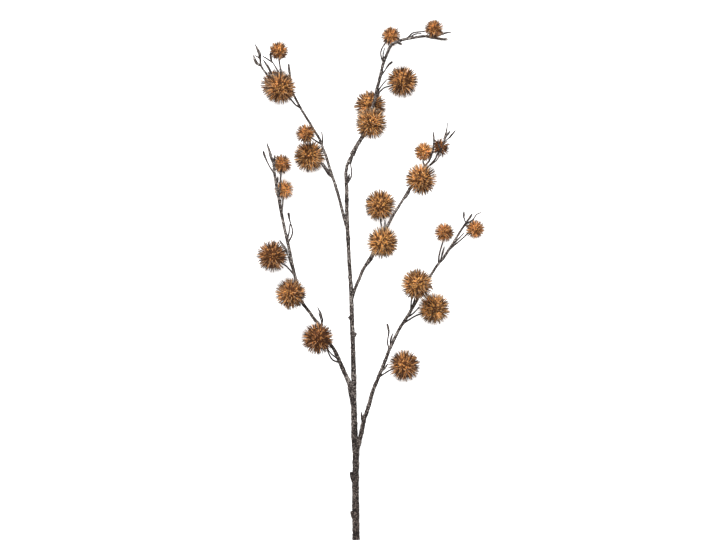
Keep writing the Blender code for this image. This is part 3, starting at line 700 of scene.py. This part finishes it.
def burr_tree():
    """A core set all over with tapered spines, save where the stalk enters."""
    graph, value, output = new_tree("Burr", {
        "Centre": "Vector", "Core": "Float", "Reach": "Float", "Spines": "Int",
        "Spine Radius": "Float", "Tip Share": "Float", "Bend": "Float", "Long Share": "Float",
        "Shortening": "Float", "Stalk": "Vector", "Bare Cosine": "Float", "Shade": "Float",
        "Floor": "Float", "Seed": "Int", "Material": "Material",
    })
    outward = graph.read("FLOAT_VECTOR", "outward")
    spines = graph.add(
        "GeometryNodeInstanceOnPoints", None,
        {
            "Points": spine_roots(graph, value, outward),
            "Instance": spine_shape(graph, value["Tip Share"], value["Bend"]),
            "Rotation": spine_turn(graph, value["Seed"], outward),
            "Scale": spine_size(graph, value),
        },
    )
    tone = graph.random(0.0, 1.0, value["Seed"] + TONE_SEED)
    spines = graph.store(spines, "FLOAT", "tone", tone, "INSTANCE")
    spines = graph.add("GeometryNodeRealizeInstances", None, {0: spines})
    burr = graph.joined(core_shape(graph, value), spines)
    burr = graph.store(burr, "FLOAT", "shade", value["Shade"])
    return finish_tree(graph, burr, value, output)


def spine_roots(graph, value, outward):
    """Points all over the core, save round the stalk, that carry their direction as outward."""
    index = graph.add("GeometryNodeInputIndex")
    height = 1.0 - (2.0 * index + 1.0) / value["Spines"]
    ring = (1.0 - height * height) ** 0.5
    turn = index * GOLDEN_ANGLE
    even = graph.vector(ring * turn.cosine(), ring * turn.sine(), height)
    scatter = graph.stretch(graph.random_vector(value["Seed"]), SCATTER / value["Spines"] ** 0.5)
    spun = graph.add(
        "ShaderNodeVectorRotate", {"rotation_type": "AXIS_ANGLE"},
        {"Vector": graph.sum(even, scatter), "Axis": SPIN_AXIS, "Angle": value["Seed"] * SPIN_STEP},
    )
    unit = graph.add("ShaderNodeVectorMath", {"operation": "NORMALIZE"}, {0: spun})
    points = graph.add("GeometryNodePoints", None, {"Count": value["Spines"], "Position": unit})
    place = graph.add("GeometryNodeInputPosition")
    points = graph.store(points, "FLOAT_VECTOR", "outward", place)
    nearness = graph.add(
        "ShaderNodeVectorMath", {"operation": "DOT_PRODUCT"}, {0: outward, 1: value["Stalk"]}, "Value"
    )
    beside = graph.add(
        "FunctionNodeCompare", {"data_type": "FLOAT", "operation": "GREATER_THAN"},
        {0: nearness, 1: value["Bare Cosine"]},
    )
    points = graph.add(
        "GeometryNodeDeleteGeometry", {"domain": "POINT"}, {"Geometry": points, "Selection": beside}
    )
    root = graph.sum(value["Centre"], graph.stretch(outward, value["Core"] * ROOT_SHARE))
    return graph.moved(points, "Position", root)


def spine_shape(graph, tip_share, bend):
    """One spine, a unit long and a unit in radius, tapering to its tip and bent a little."""
    line = graph.add("GeometryNodeCurvePrimitiveLine", None, {"End": (0.0, 0.0, 1.0)})
    line = graph.add("GeometryNodeResampleCurve", None, {"Curve": line, "Count": SPINE_RINGS})
    share = graph.add("GeometryNodeSplineParameter", output="Factor")
    line = graph.store(line, "FLOAT", "along", share)
    line = graph.moved(line, "Offset", graph.vector(share * share * bend, 0.0, 0.0))
    rounding = (1.0 - share ** ROUNDING).most(TIP_LEAST)
    width = (1.0 - (1.0 - tip_share) * share ** TAPER) * rounding
    return graph.tube(line, graph.circle(SPINE_SIDES), width)


def spine_turn(graph, seed, outward):
    """Points a spine outwards, leaning a little, and rolls it about itself at random."""
    lean = graph.random_vector(seed + LEAN_SEED)
    aim = graph.sum(outward, graph.stretch(lean, LEAN))
    upright = graph.add("FunctionNodeAlignRotationToVector", {"axis": "Z"}, {"Vector": aim})
    roll = graph.random(0.0, math.tau, seed + ROLL_SEED)
    spin = graph.add(
        "FunctionNodeAxisAngleToRotation", None, {"Axis": (0.0, 0.0, 1.0), "Angle": roll}
    )
    return graph.add(
        "FunctionNodeRotateRotation", {"rotation_space": "LOCAL"},
        {"Rotation": upright, "Rotate By": spin},
    )


def spine_size(graph, value):
    """A spine's width and length, each varied a little."""
    rank = graph.random(0.0, 1.0, value["Seed"] + LENGTH_SEED)
    short = rank.above(value["Long Share"]) * value["Shortening"]
    length = (value["Reach"] - value["Core"] * ROOT_SHARE) * (1.0 - short - LENGTH_SPREAD * rank)
    width = value["Spine Radius"] * graph.random(*SPINE_WIDTHS, value["Seed"] + WIDTH_SEED)
    return graph.vector(width, width, length)


def core_shape(graph, value):
    """The husk that the spines stand on, lumpy and mottled between them."""
    ball = graph.add(
        "GeometryNodeMeshIcoSphere", None,
        {"Radius": value["Core"], "Subdivisions": CORE_SUBDIVISIONS},
    )
    place = graph.sum(graph.add("GeometryNodeInputPosition"), value["Centre"])
    outward = graph.add("GeometryNodeInputNormal")
    lump = graph.noise(place, CORE_LUMP_SCALE, 1.0) - CORE_LUMP_MIDDLE
    offset = graph.sum(value["Centre"], graph.stretch(outward, lump * value["Core"] * CORE_LUMPS))
    ball = graph.moved(ball, "Offset", offset)
    ball = graph.store(ball, "FLOAT", "along", 0.0)
    mottle = (graph.noise(place, MOTTLE_SCALE, 1.0) - 0.5) * MOTTLE_CONTRAST + MOTTLE_MIDDLE
    return graph.store(ball, "FLOAT", "tone", mottle)


def new_surface(name):
    """A material, its graph, its principled shader and the place on the object."""
    material = bpy.data.materials.new(name)
    material.use_nodes = True
    graph = Graph(material.node_tree)
    place = graph.add("ShaderNodeTexCoord", output="Object")
    return material, graph, material.node_tree.nodes["Principled BSDF"], place


def attribute(graph, name, output="Fac"):
    return graph.add("ShaderNodeAttribute", {"attribute_name": name}, None, output)


def finish_surface(graph, shader, colour, roughness, bump):
    """Feeds a dull surface's shader. The bump is its strength, its distance and its height."""
    strength, distance, height = bump
    inputs = {"Strength": strength, "Distance": distance, "Height": height}
    graph.feed(shader.inputs["Base Color"], colour)
    graph.feed(shader.inputs["Roughness"], roughness)
    graph.feed(shader.inputs["Normal"], graph.add("ShaderNodeBump", None, inputs))
    graph.feed(shader.inputs["Specular IOR Level"], DULL_SHINE)


def bark_material(settings):
    """Grey-brown bark: long streaks round the stem, pale flecks, dark cracks and rough speckle."""
    material, graph, shader, place = new_surface("bark")
    along = graph.vector(0.0, 0.0, attribute(graph, "run") * CURL_ALONG)
    rolled = graph.sum(attribute(graph, "round", "Vector"), along)
    curls = graph.noise(rolled, CURL_SCALE, 3.0, 0.6)
    flecks = graph.noise(place, FLECK_SCALE, 2.0, 0.55)
    grain = graph.noise(place, GRAIN_SCALE, 2.0, 0.6)
    patches = graph.noise(place, PATCH_SCALE, 2.0)
    slim = 1.0 - (attribute(graph, "girth") / SLIM_RADIUS).least(1.0)
    streaks = (curls - 0.5) * CURL_WEIGHT + (flecks - 0.5) * FLECK_WEIGHT
    streaks = streaks + (patches - 0.5) * PATCH_WEIGHT
    tone = streaks * (1.0 - SLIM_CALM * slim) + 0.5 - SLIM_DARKENING * slim
    colours = (settings.crack_colour, settings.bark_colour, settings.fleck_colour,
               settings.pale_colour)
    tints = [[min(1.0, a * b) for a, b in zip(each, settings.upper_tint)] for each in colours]
    foot = graph.ramp(tone, list(zip(BARK_STOPS, colours)))
    top = graph.ramp(tone, list(zip(BARK_STOPS, tints)))
    _, upward, _ = graph.parts(place)
    colour = graph.mix((upward + FOOT_END) * TURN_RATE, foot, top)
    height = curls * CURL_RELIEF + flecks * FLECK_RELIEF + grain * GRAIN_RELIEF
    bump = (BARK_STRENGTH, BARK_RELIEF, height)
    finish_surface(graph, shader, colour, 0.7 + 0.25 * flecks, bump)
    return material


def spine_material(name, look):
    """Golden husk under spines that darken towards the tip, each of its own tone."""
    material, graph, shader, place = new_surface(name)
    along = attribute(graph, "along")
    tone = attribute(graph, "tone")
    shade = attribute(graph, "shade")
    speckle = graph.noise(place, SPECKLE_SCALE, 2.0)
    blotch = graph.noise(place, BLOTCH_SCALE, 1.0)
    grown = graph.ramp(along, [
        (0.0, look.husk_colour), (SPINE_MIDDLE, look.body_colour), (SPINE_DARK, look.tip_colour),
    ])
    share = (tone - PLAIN_TONE) * look.contrast + speckle * SPECKLE_WEIGHT
    share = share + shade * SHADE_WEIGHT + (blotch - 0.5) * BLOTCH_WEIGHT
    varied = graph.tinted(grown, graph.mix(share, DARK_TINT, PALE_TINT))
    colour = graph.tinted(varied, graph.mix(shade, RUSTY_TINT, GOLDEN_TINT))
    bump = (SPINE_STRENGTH, SPINE_RELIEF, speckle)
    finish_surface(graph, shader, colour, 0.75 - 0.35 * along + 0.1 * speckle, bump)
    return material


def floor_material(settings):
    """Plain pale paper, clouded very slightly, with a little light of its own."""
    material, graph, shader, place = new_surface("floor")
    paler = [0.5 + 0.5 * part for part in settings.floor_colour]
    colour = graph.mix(graph.noise(place, 3.0, 2.0), (*settings.floor_colour, 1.0), (*paler, 1.0))
    graph.feed(shader.inputs["Base Color"], colour)
    graph.feed(shader.inputs["Roughness"], 0.8)
    graph.feed(shader.inputs["Emission Color"], WHITE)
    graph.feed(shader.inputs["Emission Strength"], settings.floor_glow)
    return material


def at(place):
    """The point of a place on the layout grid, in metres."""
    across, along, height = place
    return Vector(((across - MIDDLE[0]) * GRID, (along - MIDDLE[1]) * GRID, height * MM))


def points_of(places):
    return [at(place) for place in places]


def divided(points, count):
    """A strand's points at closer steps, so that a profile of radii keeps its shape."""
    closer = []
    for a, b in zip(points, points[1:]):
        closer += [a.lerp(b, step / count) for step in range(count)]
    return closer + [points[-1]]


def radius_at(radii, share):
    """The radius at a share of a tube's length, between those given at even lengths."""
    place = share * (len(radii) - 1)
    before = min(int(place), len(radii) - 2)
    return radii[before] + (radii[before + 1] - radii[before]) * (place - before)


def add_strand(curve, points, radii):
    """Adds one strand to a curve, its radii given at even lengths."""
    spline = curve.splines.new("POLY")
    spline.points.add(len(points) - 1)
    steps = [(b - a).length for a, b in zip(points, points[1:])]
    walked = 0.0
    for knot, point, step in zip(spline.points, points, steps + [0.0]):
        knot.co = (*point, 1.0)
        knot.radius = radius_at(radii, walked / sum(steps)) * MM
        walked += step


def stem_piece(name, strands, settings, sides, seed):
    """Strands grown into one bark-covered piece that replaces the node of the same name."""
    curve = bpy.data.curves.new(name, "CURVE")
    curve.dimensions = "3D"
    for points, radii in strands:
        add_strand(curve, points, radii)
    guide = bpy.data.objects.new(name + "_guide", curve)
    bpy.context.scene.collection.objects.link(guide)
    piece = grow(name + "_stem", guide, cached("stem", stem_tree), {
        "Sides": sides, "Step": settings.stem_step, "Lumps": settings.lumps,
        "Lump Size": settings.lump_size, "Ridges": settings.ridges, "Warts": settings.warts,
        "Wart Size": settings.wart_size, "Floor": FLOOR_GAP, "Seed": seed,
        "Material": cached("bark", lambda: bark_material(settings)),
    })
    stand_for(piece, name)


def scarred_trunk():
    """The trunk's points and radii at close steps, thicker at each leaf scar."""
    route = points_of(TRUNK)
    length = sum((b - a).length for a, b in zip(route, route[1:]))
    points, radii = [], []
    walked = 0.0
    for a, b in zip(route, route[1:]):
        count = max(1, round((b - a).length / TRUNK_STEP))
        for step in range(count):
            point = a.lerp(b, step / count)
            share = (walked + (b - a).length * step / count) / length
            along = point.y / GRID + MIDDLE[1]
            nearest = min(abs(along - scar) for scar in SCARS)
            points.append(point)
            radii.append(
                radius_at(TRUNK_RADII, share)
                + SCAR_HEIGHT * math.exp(-((nearest / SCAR_WIDTH) ** 2))
            )
        walked += (b - a).length
    return points + [route[-1]], radii + [TRUNK_RADII[-1]]


def bud_strands(buds):
    return [(divided(points_of(bud.points), BUD_STEPS), bud.radii) for bud in buds]


def trunk_strands():
    """The scarred trunk, its stubs, its twig, its buds and a sleeve at each branch's foot."""
    strands = [scarred_trunk()]
    strands += [(points_of(stub), STUB_RADII) for stub in TRUNK_STUBS]
    strands += [(points_of(twig), TWIG_RADII) for twig in TRUNK_TWIGS]
    strands += bud_strands(TRUNK_BUDS)
    for branch in BRANCHES:
        start, end = points_of(branch.foot)
        sleeve = divided([start, start.lerp(end, SLEEVE_END)], SLEEVE_STEPS)
        strands.append((sleeve, [branch.radii[0] + wall for wall in SLEEVE_WALL]))
    return strands


def branch_strands(branch):
    """A side branch's main stem, twigs, leaf buds and stalks."""
    start, end = points_of(branch.foot)
    route = [start.lerp(end, PLUG_START), end] + points_of(branch.main)
    strands = [(route, [radius + BARK_DEPTH for radius in branch.radii])]
    strands += [(points_of(twig), TWIG_RADII) for twig in branch.twigs]
    strands += bud_strands(branch.buds)
    strands += [(stalk_points(burr, kind), STALK_RADII) for _, kind, burr in burrs_of(branch)]
    return strands


def burrs_of(branch):
    """The name of the node, the kind and the row of each of a branch's burrs."""
    for kind, burrs in ((LARGE, branch.large), (SMALL, branch.small)):
        for number, burr in enumerate(burrs, 1):
            yield f"{kind.slot}_{branch.side}_{number}", kind, burr


def stalk_direction(burr):
    """The way from a burr's middle to its stalk."""
    return (at(burr.stalk[-1]) - at(burr.centre)).normalized()


def stalk_points(burr, kind):
    """A stalk's route from its branch to just inside the burr's core."""
    end = at(burr.centre) + stalk_direction(burr) * (kind.core - SOCKET_DEPTH)
    return points_of(burr.stalk) + [end]


def burr_piece(name, kind, burr, look, material, seed):
    """One burr that replaces its node."""
    anchor = bpy.data.objects.new(name + "_anchor", bpy.data.meshes.new(name))
    bpy.context.scene.collection.objects.link(anchor)
    piece = grow(name + "_spiny", anchor, cached("burr", burr_tree), {
        "Centre": at(burr.centre), "Core": kind.core * look.core_share * burr.fullness ** 0.5,
        "Reach": kind.tip * look.reach_share, "Spines": round(look.spines * burr.fullness),
        "Spine Radius": look.spine_radius, "Tip Share": look.tip_share, "Bend": look.bend,
        "Long Share": look.long_share, "Shortening": look.shortening,
        "Stalk": stalk_direction(burr), "Bare Cosine": math.cos(look.bare_angle),
        "Shade": burr.shade, "Floor": FLOOR_GAP, "Seed": seed, "Material": material,
    })
    stand_for(piece, name)


def build_burrs(wanted, look, material_name):
    """All the burrs of one kind, which share a material."""
    material = spine_material(material_name, look)
    rows = [row for branch in BRANCHES for row in burrs_of(branch) if row[1] == wanted]
    for number, (name, kind, burr) in enumerate(rows, 1):
        burr_piece(name, kind, burr, look, material, number * BURR_SEEDS)


def add_floor(settings):
    bpy.ops.mesh.primitive_plane_add(size=settings.floor_side)
    floor = bpy.context.object
    floor.name = "floor"
    floor.data.materials.append(floor_material(settings))


def add_sun(name, direction, strength, spread):
    """A far, broad and so soft light that shines along a direction."""
    light = bpy.data.lights.new(name, "SUN")
    light.energy = strength
    light.angle = spread
    lamp = bpy.data.objects.new(name, light)
    lamp.rotation_euler = Vector(direction).to_track_quat("-Z", "Y").to_euler()
    bpy.context.scene.collection.objects.link(lamp)


def add_lights(scene, settings):
    """A soft light from beyond the branch's top, a weaker one from overhead and an even sky."""
    add_sun("key", KEY_DIRECTION, settings.key_strength, settings.key_spread)
    add_sun("fill", FILL_DIRECTION, settings.fill_strength, settings.fill_spread)
    world = bpy.data.worlds.new("sky")
    world.use_nodes = True
    sky = world.node_tree.nodes["Background"].inputs
    sky["Color"].default_value = WHITE
    sky["Strength"].default_value = settings.sky_strength
    scene.world = world
    scene.view_settings.view_transform = "Standard"


def add_camera(scene, settings):
    """Looks straight down, with the photograph's frame at the height of the stems."""
    data = bpy.data.cameras.new("camera")
    width = FRAME_SIZE[0] * GRID
    data.lens = data.sensor_width * settings.camera_height / width
    data.clip_end = 100
    camera = bpy.data.objects.new("camera", data)
    middle = at((*VIEW_MIDDLE, 0))
    camera.location = (middle.x, middle.y, VIEW_HEIGHT + settings.camera_height)
    scene.collection.objects.link(camera)
    scene.camera = camera


def length_property(label, words, default):
    return FloatProperty(name=label, description=words, default=default, min=0, unit="LENGTH",
                         precision=4)


def share_property(label, words, default):
    return FloatProperty(name=label, description=words, default=default, min=0)


def angle_property(label, words, degrees):
    return FloatProperty(name=label, description=words, default=math.radians(degrees), min=0,
                         subtype="ANGLE")


def colour_property(label, words, default):
    return FloatVectorProperty(name=label, description=words, default=default, size=3, min=0,
                               max=1, subtype="COLOR")


class WoodLook(bpy.types.PropertyGroup):
    """How the stems, twigs and buds look."""

    trunk_sides: IntProperty(name="Trunk sides", description="Faces round it", default=20, min=3)
    stem_sides: IntProperty(name="Stem sides", description="Faces round a stem", default=12, min=3)
    stem_step: length_property("Step", "Distance between a stem's rings", 1.6 * MM)
    lumps: share_property("Lumps", "Height of the bark's lumps as a share of the radius", 0.36)
    lump_size: share_property("Lump scale", "Scale of the noise that raises the lumps", 190.0)
    ridges: share_property("Ridges", "Height of the lengthwise ridges as a share of the radius", 0.5)
    warts: share_property("Warts", "Warts on each square metre of bark", 26000.0)
    wart_size: length_property("Wart size", "Radius of the largest wart", 0.65 * MM)
    bark_colour: colour_property("Bark", "Main colour of the bark", (0.0178, 0.0113, 0.0096))
    crack_colour: colour_property("Cracks", "Colour in the bark's cracks", (0.005, 0.0035, 0.003))
    fleck_colour: colour_property("Flecks", "Colour of the bark's flecks", (0.043, 0.03, 0.0258))
    pale_colour: colour_property("Pale marks", "Colour of the palest marks", (0.19, 0.15, 0.13))
    upper_tint: FloatVectorProperty(
        name="Upper tint", description="What the colours are multiplied by towards the tips",
        default=(2.9, 3.4, 3.6), size=3, min=0,
    )


class BurrLook(bpy.types.PropertyGroup):
    """How one kind of burr looks. The defaults are the large burrs' values."""

    spines: IntProperty(name="Spines", description="Spines on a burr", default=480, min=1)
    core_share: share_property("Core", "Core as a share of the burr's own", 1.05)
    reach_share: share_property("Reach", "Longest spine's reach as a share of the burr's", 1.1)
    spine_radius: length_property("Spine radius", "Radius at a spine's root", 0.79 * MM)
    tip_share: share_property("Tip", "Tip's width as a share of the root's", 0.5)
    bend: share_property("Bend", "How far a spine's tip bends, in root radii", 0.35)
    long_share: share_property("Long share", "Share of the spines that are long", 0.7)
    shortening: share_property("Shortening", "How much shorter the others are", 0.25)
    bare_angle: angle_property("Bare angle", "Angle round the stalk that has no spines", 9)
    husk_colour: colour_property("Husk", "Colour between the spines", (0.34, 0.148, 0.046))
    body_colour: colour_property("Spines' middle", "Colour half way up", (0.3, 0.142, 0.053))
    tip_colour: colour_property("Tips", "Colour at the tips", (0.14, 0.092, 0.064))
    contrast: share_property("Contrast", "How far the spines' tones differ", 2.3)


class StageLook(bpy.types.PropertyGroup):
    """The floor, the lights and the camera."""

    floor_colour: colour_property("Floor", "Colour of the floor", (0.9, 0.9, 0.9))
    floor_glow: share_property("Floor glow", "Strength of the floor's own light", 0.72)
    floor_side: length_property("Floor side", "Side of the square floor", 9.0)
    camera_height: length_property("Camera height", "Distance from the branch", 12.0)
    key_strength: share_property("Key light", "Strength of the light beyond the top", 4.1)
    key_spread: angle_property("Key spread", "Softness of the key light", 30)
    fill_strength: share_property("Fill light", "Strength of the light overhead", 0.5)
    fill_spread: angle_property("Fill spread", "Softness of the fill light", 60)
    sky_strength: share_property("Sky", "Strength of the even light all round", 0.4)


class BranchLook(bpy.types.PropertyGroup):
    """All the looks of the branch."""

    wood: PointerProperty(type=WoodLook)
    large: PointerProperty(type=BurrLook)
    small: PointerProperty(type=BurrLook)
    stage: PointerProperty(type=StageLook)


class BURRBRANCH_OT_trunk(bpy.types.Operator):
    """Build the trunk with its stubs, leaf scars and sleeves"""

    bl_idname = "burr_branch.trunk"
    bl_label = "Trunk"

    def execute(self, context):
        wood = context.scene.burr_branch.wood
        stem_piece("trunk", trunk_strands(), wood, wood.trunk_sides, 0)
        return {"FINISHED"}


class BURRBRANCH_OT_side_branches(bpy.types.Operator):
    """Build the five side branches with their stalks, twigs and leaf buds"""

    bl_idname = "burr_branch.side_branches"
    bl_label = "Side Branches"

    def execute(self, context):
        wood = context.scene.burr_branch.wood
        for seed, branch in enumerate(BRANCHES, 1):
            name = "branch_" + branch.side
            stem_piece(name, branch_strands(branch), wood, wood.stem_sides, seed)
        return {"FINISHED"}


class BURRBRANCH_OT_large_burrs(bpy.types.Operator):
    """Build the large burrs with their dense bristling spines"""

    bl_idname = "burr_branch.large_burrs"
    bl_label = "Large Burrs"

    def execute(self, context):
        build_burrs(LARGE, context.scene.burr_branch.large, "large_spines")
        return {"FINISHED"}


class BURRBRANCH_OT_small_burrs(bpy.types.Operator):
    """Build the small burrs with their fewer and more orange spines"""

    bl_idname = "burr_branch.small_burrs"
    bl_label = "Small Burrs"

    def execute(self, context):
        build_burrs(SMALL, context.scene.burr_branch.small, "small_spines")
        return {"FINISHED"}


class BURRBRANCH_OT_stage(bpy.types.Operator):
    """Lay the floor and set the lights and the camera"""

    bl_idname = "burr_branch.stage"
    bl_label = "Stage"

    def execute(self, context):
        settings = context.scene.burr_branch.stage
        add_floor(settings)
        add_lights(context.scene, settings)
        add_camera(context.scene, settings)
        return {"FINISHED"}


class BURRBRANCH_PT_panel(bpy.types.Panel):
    """Lists the branch's pieces and looks"""

    bl_idname = "BURRBRANCH_PT_panel"
    bl_label = "Burr Branch"
    bl_space_type = "VIEW_3D"
    bl_region_type = "UI"
    bl_category = "Burr Branch"

    def draw(self, context):
        looks = context.scene.burr_branch
        for operator in OPERATORS:
            self.layout.operator(operator.bl_idname)
        for title, group in (("Wood", looks.wood), ("Large burrs", looks.large),
                             ("Small burrs", looks.small), ("Stage", looks.stage)):
            box = self.layout.box()
            box.label(text=title)
            for name in group.__annotations__:
                box.prop(group, name)


OPERATORS = (
    BURRBRANCH_OT_trunk, BURRBRANCH_OT_side_branches, BURRBRANCH_OT_large_burrs,
    BURRBRANCH_OT_small_burrs, BURRBRANCH_OT_stage,
)
CLASSES = (WoodLook, BurrLook, StageLook, BranchLook, *OPERATORS, BURRBRANCH_PT_panel)


def register():
    for each in CLASSES:
        bpy.utils.register_class(each)
    bpy.types.Scene.burr_branch = PointerProperty(type=BranchLook)


def unregister():
    del bpy.types.Scene.burr_branch
    for each in reversed(CLASSES):
        bpy.utils.unregister_class(each)


def main():
    register()
    for name, value in SMALL_BURR_LOOK.items():
        setattr(bpy.context.scene.burr_branch.small, name, value)
    bpy.ops.burr_branch.trunk()
    bpy.ops.burr_branch.side_branches()
    bpy.ops.burr_branch.large_burrs()
    bpy.ops.burr_branch.small_burrs()
    bpy.ops.burr_branch.stage()


if __name__ == "__main__":
    main()
